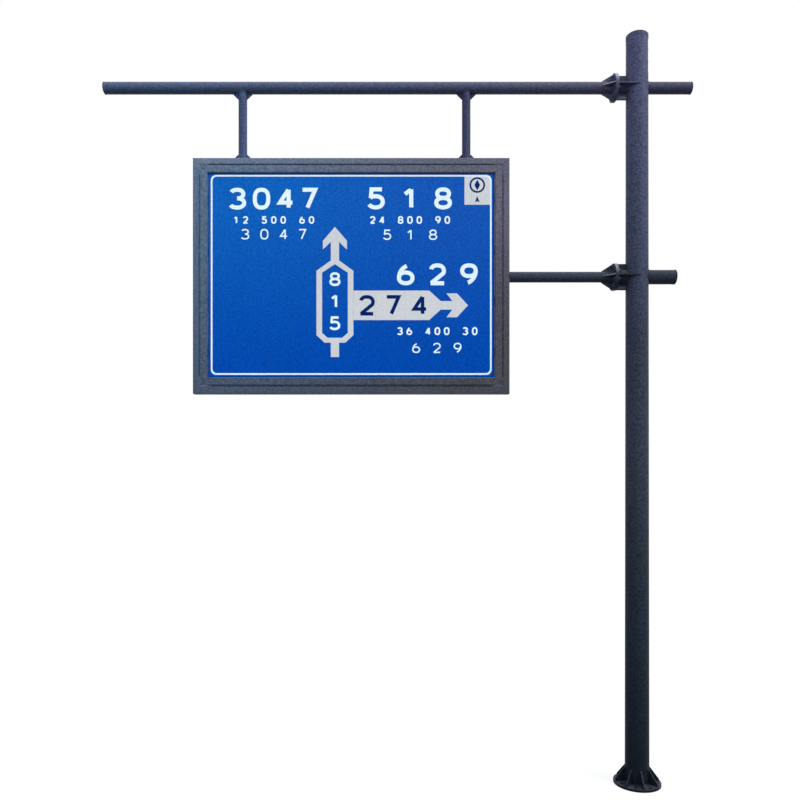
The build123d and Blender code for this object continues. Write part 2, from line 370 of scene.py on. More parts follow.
# Painted shade: the lower level's paints are darker than the upper's
armPaints = {
    "upper": levelPaints("upper", rgb(71, 86, 113), rgb(76, 78, 98), rgb(66, 67, 87), rgb(70, 76, 98),
                         (-5.0, 0.2), dict(paintLook, dustShare=0.30)),
    "lower": levelPaints("lower", rgb(54, 59, 73), rgb(44, 49, 60), rgb(43, 48, 59), rgb(56, 60, 76),
                         (-0.5, -0.1), dict(paintLook, dustShare=0.12, specular=0.04, wornAndLitShare=0.5)),
}
hangerPaint = steelPaint("hangerPaint", (rgb(60, 76, 108),), (rgb(54, 58, 86),), sides=(-4.0, -1.7))

# Sheeting: retroreflective film with its sealed honeycomb, bare aluminium behind
filmLook = {
    "heights": (3.9, 6.2),
    "sides": (-4.2, -1.5),
    "cellSize": 0.012,
    "wallEdges": (-1.32, -1.05, 1.0, 0.0),
    "wall": rgb(8, 92, 186),
    "wallShare": 0.25,
    "wallRoughness": 0.1,
    "cloud": (2.2, 3.0, 0.5),
    "cloudShare": 0.14,
    "cloudRoughness": 0.12,
    "grain": (60.0, 3.0, 0.6),
    "grainEdges": (0.30, 0.70),
    "grainShare": 0.42,
    "streak": (1.0, 4.0, 0.6),
    "streakStretch": (22.0, 22.0, 0.8),
    "streakEdges": (0.5, 0.8),
    "dirt": rgb(16, 60, 120),
    "dirtShare": 0.14,
    "roughness": 0.34,
    "specular": 0.015,
    "bumpStrength": 0.3,
    "bumpDepth": 0.0004,
}
sheetLook = {  # the sheet alone: painted shade along its edge, and its bare back
    "edge": rgb(2, 34, 92),
    "edgeReach": (0.022, 0.002),
    "edgeShare": 0.6,
    "frontFacing": (0.4, 0.6),
    "rolled": (1.0, 4.0, 0.5),
    "rolledStretch": (2.0, 60.0, 60.0),
    "darkMetal": rgb(150, 153, 156),
    "paleMetal": rgb(196, 198, 200),
    "metallic": 0.85,
    "roughness": 0.3,
    "roughnessSwing": 0.25,
}


def honeycomb(shade, place, look):
    step = 2 * math.pi / look["cellSize"]
    waves = []
    for angle in map(math.radians, (0, 60, 120)):
        across = shade.along(place, (math.cos(angle) * step, 0, math.sin(angle) * step))
        waves.append(across.maths("COSINE"))
    return shade.fade(waves[0] + waves[1] + waves[2], *look["wallEdges"])


def film(name, bottom, topLeft, topRight, backed=False, look=filmLook):
    made, shade = newMaterial(name)
    place = shade.place()
    across = shade.fade(shade.along(place, (1, 0, 0)), *look["sides"])
    colour = shade.blend(shade.fade(shade.along(place, (0, 0, 1)), *look["heights"]), bottom,
                         shade.blend(across, topLeft, topRight))
    walls = honeycomb(shade, place, look)
    cloud = shade.noise(place, *look["cloud"])
    grain = shade.fade(shade.noise(place, *look["grain"]), *look["grainEdges"])
    streak = shade.noise(shade.times(place, look["streakStretch"]), *look["streak"])
    colour = shade.scaled(colour, lightness(look, cloud=cloud, grain=grain))
    colour = shade.blend(walls * look["wallShare"], colour, look["wall"])
    darkened = shade.fade(streak, *look["streakEdges"]) * look["dirtShare"]
    colour = shade.blend(darkened, colour, look["dirt"])
    rough = look["roughness"] + cloud * look["cloudRoughness"] + walls * look["wallRoughness"]
    metallic = 0.0
    if backed:
        # Painted shade along the sheet's edge, where the frame shades it
        edge = sheetEdge(shade, place, sheetLook["edgeReach"]) * sheetLook["edgeShare"]
        colour = shade.blend(edge, colour, sheetLook["edge"])
        front = shade.fade(shade.facing((0, -1, 0)), *sheetLook["frontFacing"])
        rolled = shade.noise(shade.times(place, sheetLook["rolledStretch"]), *sheetLook["rolled"])
        metal = shade.blend(rolled, sheetLook["darkMetal"], sheetLook["paleMetal"])
        colour = shade.blend(front, metal, colour)
        metallic = (1 - front) * sheetLook["metallic"]
        rough = shade.node("Mix", {"data_type": "FLOAT"}, {
            0: front, 2: sheetLook["roughness"] + rolled * sheetLook["roughnessSwing"], 3: rough})
    shade.surface(look, colour, rough, walls + grain, metallic)
    return made


paleLook = dict(filmLook, wall=rgb(200, 206, 210), wallShare=0.15, grainShare=0.12,
                dirt=rgb(160, 166, 172), specular=0.08)
signBlue = film("signBlue", rgb(0, 70, 165), rgb(14, 96, 182), rgb(22, 84, 174), backed=True)
filmWhite = film("filmWhite", rgb(222, 241, 251), rgb(224, 243, 252), rgb(224, 242, 252), look=paleLook)
filmGrey = film("filmGrey", rgb(202, 205, 205), rgb(206, 209, 210), rgb(204, 206, 206), look=paleLook)
filmBlue = film("filmBlue", rgb(2, 28, 88), rgb(5, 32, 96), rgb(6, 31, 94))

slotFinish = {
    "mast_paint": mastPaint,
    "frame_paint": framePaint,
    "rail_paint": framePaint,
    "sign_face": signBlue,
}


def nodeFinish(node, slot):
    if slot != "arm_paint":
        return slotFinish[slot]
    if "hanger" in node:
        return hangerPaint
    paints = armPaints[node.split("_")[0]]
    return next(paint for ending, paint in paints.items() if node.endswith(ending))


for part in frame["record"]["subparts"]:
    steel = nodes[part["node"]].data
    steel.materials.clear()
    steel.materials.append(nodeFinish(part["node"], part["material_slot"]))
print("materials on the steel parts")


def addObject(name, data):
    made = bpy.data.objects.new(name, data)
    bpy.context.collection.objects.link(made)
    return made


def addPiece(name, mesh, material):
    made = addObject(name, mesh)
    mesh.materials.append(material)
    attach(made, "root")
    return made


# Places read from the frame
def middle(node):
    low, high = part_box(node)
    return (Vector(low) + Vector(high)) / 2


def tubeRadius(node):  # half the height of a level tube
    low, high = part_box(node)
    return (high[2] - low[2]) / 2


mastCap = {"overhang": 0.0015, "weldInset": 0.001, "bead": 0.003}
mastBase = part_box("mast_shaft")[0][2]
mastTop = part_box("mast_shaft")[1][2]
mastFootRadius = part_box("mast_shaft")[1][0]
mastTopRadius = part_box("mast_cap")[1][0] - mastCap["overhang"]


def mastRadius(height):
    share = (height - mastBase) / (mastTop - mastBase)
    return mastFootRadius + share * (mastTopRadius - mastFootRadius)


# Weld beads: a lumpy line of weld laid along a path
weld = {
    "step": 0.0035,
    "sides": 8,
    "ripple": 0.10,
    "ripplePitch": 0.0105,
    "waver": 0.12,
    "waverRate": 61.0,
}


def angles(count):  # even steps round a full turn
    return [2 * math.pi * i / count for i in range(count)]


def spaced(path, closed):  # points along a path, a step apart
    points = [Vector(p) for p in path]
    if closed:
        points.append(points[0])
    laid = []
    for start, end in zip(points, points[1:]):
        count = max(1, round((end - start).length / weld["step"]))
        laid += [start.lerp(end, i / count) for i in range(count)]
    if not closed:
        laid.append(points[-1])
    return laid


def addBead(bm, path, radius, closed=False):
    laid = spaced(path, closed)
    total = len(laid)
    rings = []
    travelled = 0.0
    for i, point in enumerate(laid):
        ahead = laid[(i + 1) % total] if closed or i < total - 1 else point
        behind = laid[i - 1] if closed or i > 0 else point
        tangent = (ahead - behind).normalized()
        side = tangent.orthogonal().normalized() if not rings else (
            lastSide - tangent * lastSide.dot(tangent)).normalized()
        lastSide = side
        up = tangent.cross(side)
        travelled += (point - laid[i - 1]).length if i else 0.0
        wave = math.sin(2 * math.pi * travelled / weld["ripplePitch"])
        size = radius * (1 + weld["ripple"] * wave
                         + weld["waver"] * math.sin(travelled * weld["waverRate"]))
        rings.append([bm.verts.new(point + size * (math.cos(a) * side + math.sin(a) * up))
                      for a in angles(weld["sides"])])
    pairs = list(zip(rings, rings[1:]))
    if closed:
        pairs.append((rings[-1], rings[0]))
    for one, two in pairs:
        for k in range(weld["sides"]):
            n = (k + 1) % weld["sides"]
            bm.faces.new((one[k], one[n], two[n], two[k]))
    if not closed:
        bm.faces.new(list(reversed(rings[0])))
        bm.faces.new(rings[-1])


def circle(centre, radius, normal, count=72):
    turn = Vector((0, 0, 1)).rotation_difference(Vector(normal)).to_matrix()
    return [Vector(centre) + turn @ Vector((radius * math.cos(a), radius * math.sin(a), 0))
            for a in angles(count)]


def meshFrom(name, bm, smooth=True):
    bmesh.ops.recalc_face_normals(bm, faces=bm.faces)
    mesh = bpy.data.meshes.new(name)
    bm.to_mesh(mesh)
    bm.free()
    if smooth:
        mesh.shade_smooth()
    return mesh


def addBeads(name, beads, material):
    bm = bmesh.new()
    for path, radius, closed in beads:
        addBead(bm, path, radius, closed)
    return addPiece(name, meshFrom(name, bm), material)


def mastSaddle(axis, stubRadius, side, count=96):  # where a stub meets the mast's side
    path = []
    for angle in angles(count):
        y = stubRadius * math.cos(angle)
        z = axis + stubRadius * math.sin(angle)
        path.append((side * math.sqrt(mastRadius(z) ** 2 - y * y), y, z))
    return path


foot = {"ribCount": 8, "ribThickness": 0.012, "ringBead": 0.006, "ribBead": 0.0045}


def footWelds():
    beads = [(circle((0, 0, mastBase), mastFootRadius, (0, 0, 1)), foot["ringBead"], True)]
    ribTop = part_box("foot_ribs")[1][2]
    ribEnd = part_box("foot_ribs")[1][0]
    for angle in angles(foot["ribCount"]):
        around = Matrix.Rotation(angle, 3, "Z")
        for side in (-1, 1):
            y = side * foot["ribThickness"] / 2
            toFlange = [(mastFootRadius, y, mastBase), (ribEnd, y, mastBase)]
            toMast = [(mastFootRadius, y, mastBase), (mastRadius(ribTop), y, ribTop)]
            beads += [([around @ Vector(p) for p in line], foot["ribBead"], False)
                      for line in (toFlange, toMast)]
    return beads


addBeads("footWelds", footWelds(), mastPaint)
addBeads("capWeld", [(circle((0, 0, mastTop), mastTopRadius - mastCap["weldInset"], (0, 0, 1)),
                      mastCap["bead"], True)], mastPaint)

joint = {
    "ribCount": 4,
    "armRibThickness": 0.010,
    "stubRibThickness": 0.012,
    "ringBead": 0.005,
    "ribBead": 0.004,
    "saddleBead": 0.006,
    "capBead": 0.003,
    "sideArc": range(90, 180, 3),
}


def jointWelds(level):
    axis = middle(level + "_arm_tube").z
    armRadius = tubeRadius(level + "_arm_tube")
    stubRadius = tubeRadius(level + "_stub_tube")
    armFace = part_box(level + "_arm_flange")[0][0]
    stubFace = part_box(level + "_stub_flange")[1][0]
    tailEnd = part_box(level + "_stub_cap")[0][0]
    mastSide = -mastRadius(axis)
    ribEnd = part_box(level + "_arm_ribs")[0][0]
    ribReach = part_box(level + "_arm_ribs")[1][2] - axis
    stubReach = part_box(level + "_stub_ribs")[1][2] - axis
    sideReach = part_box(level + "_stub_ribs")[1][1]
    beads = [
        (circle((armFace, 0, axis), armRadius, (1, 0, 0)), joint["ringBead"], True),
        (circle((stubFace, 0, axis), stubRadius, (1, 0, 0)), joint["ringBead"], True),
        (mastSaddle(axis, stubRadius, -1), joint["saddleBead"], True),
        (mastSaddle(axis, stubRadius, 1), joint["saddleBead"], True),
        (circle((tailEnd, 0, axis), stubRadius, (1, 0, 0)), joint["capBead"], True),
    ]
    for turn, angle in enumerate(angles(joint["ribCount"])):
        around = Matrix.Translation((0, 0, axis)) @ Matrix.Rotation(angle, 4, "X")
        upright = turn % 2 == 0
        reach = stubReach if upright else sideReach
        for side in (-1, 1):
            armY = side * joint["armRibThickness"] / 2
            stubY = side * joint["stubRibThickness"] / 2
            lines = [
                [(ribEnd, armY, armRadius), (armFace, armY, armRadius)],
                [(armFace, armY, armRadius), (armFace, armY, ribReach)],
                [(stubFace, stubY, stubRadius), (stubFace, stubY, reach)],
                [(stubFace, stubY, stubRadius), (mastSide, stubY, stubRadius)],
            ]
            if upright:
                lines.append([(mastSide, stubY, stubRadius), (mastSide, stubY, reach)])
            beads += [([around @ Vector(p) for p in line], joint["ribBead"], False)
                      for line in lines]
    for side in (-1, 1):  # the level ribs run on round the mast's side
        for lift in (-1, 1):
            height = axis + lift * joint["stubRibThickness"] / 2
            radius = mastRadius(height)
            beads.append(([(radius * math.cos(a), side * radius * math.sin(a), height)
                           for a in map(math.radians, joint["sideArc"])], joint["ribBead"], False))
    return beads


for level, paints in armPaints.items():
    addBeads(level + "JointWelds", jointWelds(level), paints[""])
print("mast and joint welds laid")

hanger = {"bead": 0.0045, "gussetBead": 0.0035, "gussetThickness": 0.008, "bottomGusset": 0.048,
          "copePoints": 72}


def hangerWelds(side):
    low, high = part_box(side + "_hanger")
    centre = (low[0] + high[0]) / 2
    radius = (high[0] - low[0]) / 2
    signTop = low[2]
    armAxis, armRadius = middle("upper_arm_tube").z, tubeRadius("upper_arm_tube")
    cope = []
    for angle in angles(hanger["copePoints"]):
        y = radius * math.sin(angle)
        cope.append((centre + radius * math.cos(angle), y,
                     armAxis - math.sqrt(armRadius ** 2 - y * y)))
    beads = [(cope, hanger["bead"], True),
             (circle((centre, 0, signTop), radius, (0, 0, 1)), hanger["bead"], True)]
    gussetLow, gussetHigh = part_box(side + "_hanger_gussets")
    topGusset = (gussetHigh[0] - gussetLow[0]) / 2 - radius
    corners = ((armAxis - armRadius, -topGusset), (signTop, hanger["bottomGusset"]))
    for way in (-1, 1):
        for face in (-1, 1):
            y = face * hanger["gussetThickness"] / 2
            beads += [([(centre + way * radius, y, level + rise), (centre + way * radius, y, level),
                        (centre + way * (radius + abs(rise)), y, level)], hanger["gussetBead"], False)
                      for level, rise in corners]
    return beads


for side in ("left", "right"):
    addBeads(side + "HangerWelds", hangerWelds(side), hangerPaint)

armEnds = {"upper": (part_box("upper_arm_cap")[1][0], joint["capBead"]),
           "lower": (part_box("lower_arm_tube")[0][0], joint["ringBead"])}
for level, (end, bead) in armEnds.items():
    tube = level + "_arm_tube"
    addBeads(level + "ArmEndWeld", [(circle((end, 0, middle(tube).z), tubeRadius(tube), (1, 0, 0)),
                                     bead, True)], armPaints[level][""])


# The frame's rings are stitched together along the groove between them, and filled at the corners
stitch = {
    "bead": 0.0072,
    "depth": 0.0405,
    "length": 0.034,
    "cornerLength": 0.075,
    "filler": 0.0052,
    "fillerDepth": 0.0362,
    "top": (-3.695, -3.050, -2.416, -1.837),
    "bottom": (-3.916, -3.237, -2.566, -2.000),
    "left": (5.81, 5.30, 4.70, 4.25),
    "right": (5.62, 4.83, 4.49),
}


def frameStitches():
    west, east = (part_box("inner_frame_" + side)[end][0] for side, end in (("left", 0), ("right", 1)))
    low, high = (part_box("inner_frame_" + side)[end][2] for side, end in (("bottom", 0), ("top", 1)))
    beads = []
    half = stitch["length"] / 2
    for face in (-1, 1):
        y = face * stitch["depth"]
        lines = [[(x - half, y, z), (x + half, y, z)] for side, z in (("top", high), ("bottom", low))
                 for x in stitch[side]]
        lines += [[(x, y, z - half), (x, y, z + half)] for side, x in (("left", west), ("right", east))
                  for z in stitch[side]]
        for x, inX in ((west, 1), (east, -1)):
            for z, inZ in ((low, 1), (high, -1)):
                lines.append([(x + inX * stitch["cornerLength"], y, z), (x, y, z),
                              (x, y, z + inZ * stitch["cornerLength"])])
        beads += [(line, stitch["bead"], False) for line in lines]
        ring = [(x, face * stitch["fillerDepth"], z)
                for x, z in ((west, low), (east, low), (east, high), (west, high))]
        beads.append((ring, stitch["filler"], True))
    return beads


addBeads("frameStitches", frameStitches(), framePaint)

# The channels behind the sheet: welded to the frame at both ends, and riveted to the sheet
rail = {
    "count": 4,
    "wall": 0.004,
    "endBead": 0.004,
    "rivetPitch": 0.29,
    "rivetStagger": 0.018,
    "rivetRadius": 0.008,
    "rivetHeight": 0.0045,
    "rivetBack": -0.1,
}


def railWelds():
    beads = []
    for number in range(1, rail["count"] + 1):
        low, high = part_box("panel_rail_%d" % number)
        for x in (low[0], high[0]):
            beads.append(([(x, high[1], low[2]), (x, low[1], low[2]), (x, low[1], high[2]),
                           (x, high[1], high[2])], rail["endBead"], False))
    return beads


addBeads("railWelds", railWelds(), framePaint)


def railRivets():
    bm = bmesh.new()
    for number in range(1, rail["count"] + 1):
        low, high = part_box("panel_rail_%d" % number)
        count = round((high[0] - low[0]) / rail["rivetPitch"])
        for i in range(count):
            stagger = rail["rivetStagger"] * (1 if i % 2 else -1)
            spot = Vector((low[0] + (i + 0.5) * (high[0] - low[0]) / count, low[1] + rail["wall"],
                           (low[2] + high[2]) / 2 + stagger))
            dome = bmesh.ops.create_uvsphere(bm, u_segments=14, v_segments=8, radius=1.0)["verts"]
            for v in dome:
                v.co = spot + Vector((v.co.x * rail["rivetRadius"],
                                      max(v.co.y, rail["rivetBack"]) * rail["rivetHeight"],
                                      v.co.z * rail["rivetRadius"]))
    return meshFrom("railRivets", bm)


addPiece("railRivets", railRivets(), framePaint)
print("frame seams, rail welds and rivets laid")

# Bolts of the two flange joints
bolt = {
    "count": 8,
    "circleRadius": 0.103,
    "shankRadius": 0.008,
    "acrossFlats": 0.024,
    "headHeight": 0.010,
    "nutHeight": 0.013,
    "washerRadius": 0.015,
    "washerThickness": 0.003,
    "chamferFlat": 0.94,
    "chamferFall": 0.6,
    "threadPitch": 0.002,
    "threadShown": 0.012,
    "threadSunk": 0.001,
    "threadRoot": 0.9,
    "threadEnd": 0.8,
    "turnStep": 0.9,
}


def lathe(bm, profile, segments, radiusAt=None):
    rings = []
    for radius, height in profile:
        ring = []
        for angle in angles(segments):
            r, h = radiusAt(radius, height, angle) if radiusAt else (radius, height)
            ring.append(bm.verts.new((r * math.cos(angle), r * math.sin(angle), h)))
        rings.append(ring)
    for one, two in zip(rings, rings[1:]):
        for k in range(segments):
            n = (k + 1) % segments
            bm.faces.new((one[k], one[n], two[n], two[k]))
    bm.faces.new(list(reversed(rings[0])))
    bm.faces.new(rings[-1])


def hexPrism(bm, base, height):
    flat = bolt["acrossFlats"] / 2
    corner = flat / math.cos(math.pi / 6)

    def shape(radius, level, angle):
        hexRadius = flat / math.cos((angle % (math.pi / 3)) - math.pi / 6)
        if level >= base + height - 1e-6:
            if radius < flat:
                return radius, base + height
            return hexRadius, base + height - (hexRadius - flat) * bolt["chamferFall"]
        return hexRadius, level
    lathe(bm, [(corner, base), (corner, base + height), (flat * bolt["chamferFlat"], base + height)],
          segments=36, radiusAt=shape)


def fastener(name, height, threaded):  # a washer under a head, or under a nut with the bolt's end
    bm = bmesh.new()
    washer, ring, shank = bolt["washerThickness"], bolt["washerRadius"], bolt["shankRadius"]
    lathe(bm, [(ring, 0), (ring, washer), (shank, washer)], segments=28)
    hexPrism(bm, washer, height)
    if threaded:
        thread = []
        level = washer + height - bolt["threadSunk"]
        top = level + bolt["threadShown"]
        while level < top:
            thread += [(shank * bolt["threadRoot"], level), (shank, level + bolt["threadPitch"] / 2)]
            level += bolt["threadPitch"]
        thread.append((shank * bolt["threadEnd"], level))
        lathe(bm, thread, segments=20)
    return meshFrom(name, bm, smooth=False)


def jointBolts(level, paint):
    bm = bmesh.new()
    axis = middle(level + "_arm_tube").z
    sides = (
        (fastener("boltHead", bolt["headHeight"], False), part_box(level + "_arm_flange")[0][0], -1),
        (fastener("boltNut", bolt["nutHeight"], True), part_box(level + "_stub_flange")[1][0], 1),
    )
    for shape, face, way in sides:
        for turn in range(bolt["count"]):
            angle = 2 * math.pi * (turn + 0.5) / bolt["count"]
            spot = Vector((face, bolt["circleRadius"] * math.sin(angle),
                           axis + bolt["circleRadius"] * math.cos(angle)))
            spin = Matrix.Rotation(turn * bolt["turnStep"], 4, "Z")
            lying = Vector((0, 0, 1)).rotation_difference(Vector((way, 0, 0))).to_matrix().to_4x4()
            copy = shape.copy()
            copy.transform(Matrix.Translation(spot) @ lying @ spin)
            bm.from_mesh(copy)
            bpy.data.meshes.remove(copy)
    addPiece(level + "JointBolts", meshFrom(level + "JointBolts", bm, smooth=False), paint)


for level, paints in armPaints.items():
    jointBolts(level, paints["bolts"])
print("joint bolts fitted")

# The sign's figures: flat film cut to shape, placed from the middle of the panel in metres
sheet = {"thickness": 0.0006, "sink": 0.0001, "overlay": 0.6, "join": 1e-5}
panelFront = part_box("sign_panel")[0][1]
panelMiddle = middle("sign_panel")


def turned(polygon):  # the same outline, running counterclockwise
    area = sum(x1 * z2 - x2 * z1 for (x1, z1), (x2, z2) in zip(polygon, polygon[1:] + polygon[:1]))
    return polygon if area > 0 else polygon[::-1]


def cutFilm(name, shapes, material, at=(0, 0), holes=()):  # overlapping shapes merge, holes stay open
    points, loops = [], []
    for polygon in [turned(list(p)) for p in (*shapes, *holes)]:
        loops.append(list(range(len(points), len(points) + len(polygon))))
        points += [Vector(p) for p in polygon]
    cut = delaunay_2d_cdt(points, [], loops, 1, sheet["join"])
    bm = bmesh.new()
    corners = [bm.verts.new((p.x, 0, p.y)) for p in cut[0]]
    for face, sources in zip(cut[2], cut[5]):
        if sources and max(sources) < len(shapes):
            bm.faces.new([corners[i] for i in face])
    bmesh.ops.delete(bm, geom=[v for v in bm.verts if not v.link_faces], context="VERTS")
    bmesh.ops.dissolve_limit(bm, angle_limit=0.001, verts=bm.verts, edges=bm.edges)
    raised = bmesh.ops.extrude_face_region(bm, geom=bm.faces[:])
    front = [v for v in raised["geom"] if isinstance(v, bmesh.types.BMVert)]
    bmesh.ops.translate(bm, verts=front, vec=(0, -sheet["thickness"], 0))
    mesh = meshFrom(name, bm, smooth=False)
    mesh.transform(Matrix.Translation((panelMiddle.x + at[0], panelFront + sheet["sink"],
                                       panelMiddle.z + at[1])))
    return addPiece(name, mesh, material)


def layOver(piece):  # on top of other film, not on the sheet itself
    piece.data.transform(Matrix.Translation((0, -sheet["thickness"] * sheet["overlay"], 0)))


def roundedBox(halfWidth, halfHeight, radius, steps=8):
    points = []
    for corner, (sx, sz) in enumerate(((1, 1), (-1, 1), (-1, -1), (1, -1))):
        for i in range(steps + 1):
            angle = math.pi / 2 * (corner + i / steps)
            points.append((sx * (halfWidth - radius) + radius * math.cos(angle),
                           sz * (halfHeight - radius) + radius * math.sin(angle)))
    return points


border = {"left": 0.029, "right": 0.030, "top": 0.017, "bottom": 0.029, "line": 0.0168,
          "cornerRadius": 0.055, "innerRadius": 0.043}
openingHalfWidth = (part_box("inner_frame_right")[0][0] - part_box("inner_frame_left")[1][0]) / 2
openingHalfHeight = (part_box("inner_frame_top")[0][2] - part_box("inner_frame_bottom")[1][2]) / 2
borderOuter = (openingHalfWidth - (border["left"] + border["right"]) / 2,
               openingHalfHeight - (border["top"] + border["bottom"]) / 2)
borderMiddle = ((border["left"] - border["right"]) / 2, (border["bottom"] - border["top"]) / 2)
borderInner = (borderOuter[0] - border["line"], borderOuter[1] - border["line"])
cutFilm("signBorder", [roundedBox(*borderOuter, border["cornerRadius"])], filmWhite, borderMiddle,
        holes=[roundedBox(*borderInner, border["innerRadius"])])

ahead = {
    "axis": -0.163,
    "tip": 0.484,
    "barb": 0.345,
    "barbEnd": 0.258,
    "headHalfWidth": 0.120,
    "notch": 0.335,
    "shaftHalfWidth": 0.041,
    "ringTop": 0.150,
    "ringShoulder": 0.047,
    "ringHalfWidth": 0.184,
    "ringLower": -0.594,
    "ringBottomHalfWidth": 0.103,
    "ringBottom": -0.669,
    "holeApex": 0.113,
    "holeShoulder": 0.028,
    "holeHalfWidth": 0.128,
    "holeLower": -0.572,
    "holeBottomHalfWidth": 0.072,
    "holeBottom": -0.620,
    "tail": -0.812,
}


def mirrored(right):  # a half outline from top to bottom, completed on the left
    return right + [(-x, z) for x, z in reversed(right) if x > 0]


def aheadOutline(a):
    return mirrored([
        (0, a["tip"]),
        (a["headHalfWidth"], a["barb"]),
        (a["headHalfWidth"], a["barbEnd"]),
        (a["shaftHalfWidth"], a["notch"]),
        (a["shaftHalfWidth"], a["ringTop"]),
        (a["ringHalfWidth"], a["ringShoulder"]),
        (a["ringHalfWidth"], a["ringLower"]),
        (a["ringBottomHalfWidth"], a["ringBottom"]),
        (a["shaftHalfWidth"], a["ringBottom"]),
        (a["shaftHalfWidth"], a["tail"]),
    ])


def aheadHole(a):
    return mirrored([
        (0, a["holeApex"]),
        (a["holeHalfWidth"], a["holeShoulder"]),
        (a["holeHalfWidth"], a["holeLower"]),
        (a["holeBottomHalfWidth"], a["holeBottom"]),
    ])


cutFilm("aheadArrow", [aheadOutline(ahead)], filmGrey, (ahead["axis"], 0), holes=[aheadHole(ahead)])

turning = {
    "axis": -0.297,
    "start": 0.022,
    "bandHalfHeight": 0.147,
    "bandEnd": 0.776,
    "neckStart": 0.891,
    "neckHalfHeight": 0.0425,
    "notch": 1.006,
    "barbEnd": 0.948,
    "barb": 1.0525,
    "headHalfHeight": 0.119,
    "tip": 1.162,
}


def turningOutline(t):
    upper = [
        (t["start"], t["bandHalfHeight"]),
        (t["bandEnd"], t["bandHalfHeight"]),
        (t["neckStart"], t["neckHalfHeight"]),
        (t["notch"], t["neckHalfHeight"]),
        (t["barbEnd"], t["headHalfHeight"]),
        (t["barb"], t["headHalfHeight"]),
        (t["tip"], 0),
    ]
    return upper + [(x, -z) for x, z in reversed(upper) if z > 0]


cutFilm("turningArrow", [turningOutline(turning)], filmGrey, (0, turning["axis"]))


def ellipse(x, z, radiusX, radiusZ, start=0, end=360, square=1.0, steps=40):  # below 1 is squarer
    points = []
    for i in range(steps + 1):
        angle = math.radians(start + (end - start) * i / steps)
        c, s = math.cos(angle), math.sin(angle)
        points.append((x + radiusX * math.copysign(abs(c) ** square, c),
                       z + radiusZ * math.copysign(abs(s) ** square, s)))
    return points


compass = {
    "width": 0.254,
    "height": 0.280,
    "dialRise": 0.056,
    "dialRadius": 0.078,
    "dialLine": 0.018,
    "needleHalfWidth": 0.028,
    "needleHalfHeight": 0.054,
    "arrowDrop": 0.086,
    "arrowHalfWidth": 0.024,
    "arrowHalfHeight": 0.032,
    "arrowNotch": 0.014,
}


def compassRose(c):
    x = borderMiddle[0] + borderInner[0] - c["width"] / 2
    z = borderMiddle[1] + borderInner[1] - c["height"] / 2
    halfWidth, halfHeight = c["width"] / 2, c["height"] / 2
    rounded = roundedBox(halfWidth, halfHeight, border["innerRadius"])
    inCorner = rounded[:len(rounded) // 4]  # only the corner that lies in the border's is rounded
    cutFilm("compassBox", [inCorner + [(-halfWidth, halfHeight), (-halfWidth, -halfHeight),
                                       (halfWidth, -halfHeight)]], filmGrey, (x, z))
    high, wide = c["needleHalfHeight"], c["needleHalfWidth"]
    hole = c["dialRadius"] - c["dialLine"]
    layOver(cutFilm("compassDial", [ellipse(0, 0, c["dialRadius"], c["dialRadius"])[:-1]], filmBlue,
                    (x, z + c["dialRise"]), holes=[ellipse(0, 0, hole, hole)[:-1]]))
    layOver(cutFilm("compassNeedle", [[(0, high), (-wide, 0), (0, -high), (wide, 0)]], filmBlue,
                    (x, z + c["dialRise"])))
    top, side, notch = c["arrowHalfHeight"], c["arrowHalfWidth"], c["arrowNotch"]
    layOver(cutFilm("compassArrow", [[(0, top), (-side, -top), (0, notch - top), (side, -top)]],
                    filmBlue, (x, z - c["arrowDrop"])))


compassRose(compass)
print("arrows and border laid")

# Plain numbers: each figure is made of strokes in a box one wide and one high
figures = {
    "0": [ellipse(0.5, 0.5, 0.5, 0.5, square=0.8)],
    "1": [[(0.62, 0.0), (0.62, 1.0)], [(0.60, 0.98), (0.16, 0.74)]],
    "2": [ellipse(0.5, 0.70, 0.48, 0.30, 165, -28, 0.9) + [(0.04, 0.0)], [(0.0, 0.0), (1.0, 0.0)]],
    "3": [ellipse(0.46, 0.76, 0.46, 0.24, 155, -90, 0.9), ellipse(0.46, 0.26, 0.52, 0.26, 90, -155, 0.9)],
    "4": [[(0.72, 1.0), (0.09, 0.28), (1.02, 0.28)], [(0.74, 0.0), (0.74, 1.0)]],
    "5": [[(0.92, 1.0), (0.16, 1.0), (0.10, 0.52)], ellipse(0.46, 0.31, 0.52, 0.31, 138, -155, 0.9)],
    "6": [ellipse(0.5, 0.30, 0.5, 0.30, square=0.9), ellipse(0.92, 0.30, 0.92, 0.72, 180, 112, 1.0)],
    "7": [[(0.0, 1.0), (0.93, 1.0), (0.36, 0.0)]],
    "8": [ellipse(0.5, 0.76, 0.43, 0.24, square=0.9), ellipse(0.5, 0.26, 0.5, 0.26, square=0.9)],
}
figures["9"] = [[(1 - x, 1 - z) for x, z in stroke] for stroke in figures["6"]]


def strokeOutline(path, width, mitreLimit=0.35):  # a flat ended band of even width, as polygons
    points = [Vector(p) for p in path]
    closed = (points[0] - points[-1]).length < 1e-6
    if closed:
        points.pop()
    count = len(points)
    left, right = [], []
    for i, point in enumerate(points):
        steps = []
        if closed or i > 0:
            steps.append((point - points[i - 1]).normalized())
        if closed or i < count - 1:
            steps.append((points[(i + 1) % count] - point).normalized())
        normals = [Vector((-s.y, s.x)) for s in steps]
        across = sum(normals, Vector((0, 0))).normalized()
        across = across / max(mitreLimit, across.dot(normals[0]))
        left.append(tuple(point + across * width / 2))
        right.append(tuple(point - across * width / 2))
    if not closed:
        return [left + right[::-1]]
    return [[left[i], left[(i + 1) % count], right[(i + 1) % count], right[i]] for i in range(count)]


